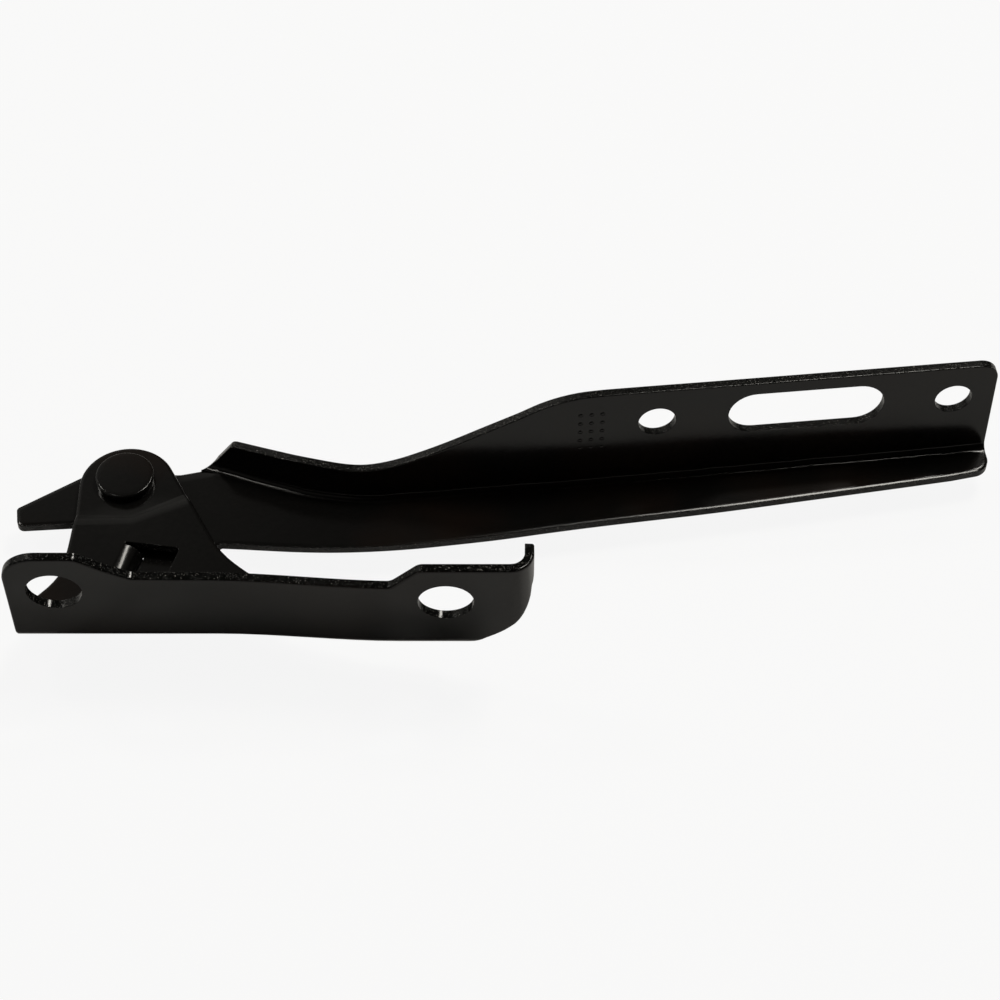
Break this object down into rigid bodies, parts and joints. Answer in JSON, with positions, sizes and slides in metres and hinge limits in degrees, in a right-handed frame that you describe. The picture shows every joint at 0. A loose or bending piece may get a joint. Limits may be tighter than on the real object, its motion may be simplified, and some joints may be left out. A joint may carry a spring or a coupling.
{
  "type": "bonnet hinge",
  "caption": "Stamped black steel bonnet hinge: body bracket with bolt flange, long bonnet arm with slotted flange, riveted pivot and an opening stop tab.",
  "frame": {"origin": "on the body bracket's seating face, 6 mm right of the pivot axis and 15 mm up the flange", "axes": "+Z along the pivot axis towards the rivet's head, +X along the arm from the pivot to its free end, +Y from the body seat towards the bonnet seat"},
  "size_m": [0.2894, 0.0815, 0.0511],
  "materials": {
    "black_coat": "glossy black electrocoat on stamped steel",
    "bush_bronze": "sintered bearing bronze, matt",
    "liner_polymer": "matt low-friction polymer",
    "washer_zinc": "zinc plated steel"
  },
  "bodies": {
    "bracket": {"base_bracket": "black_coat", "pivot_rivet": "black_coat", "rear_washer": "washer_zinc"},
    "arm": {"bonnet_arm": "black_coat", "pivot_bush": "bush_bronze", "rear_liner": "liner_polymer"}
  },
  "joints": [
    {"name": "hinge", "type": "hinge", "parent": "bracket", "child": "arm", "pos_m": [-0.006, 0.05686, -0.01498], "axis": [0, 0, 1], "range_deg": [0, 68]}
  ]
}
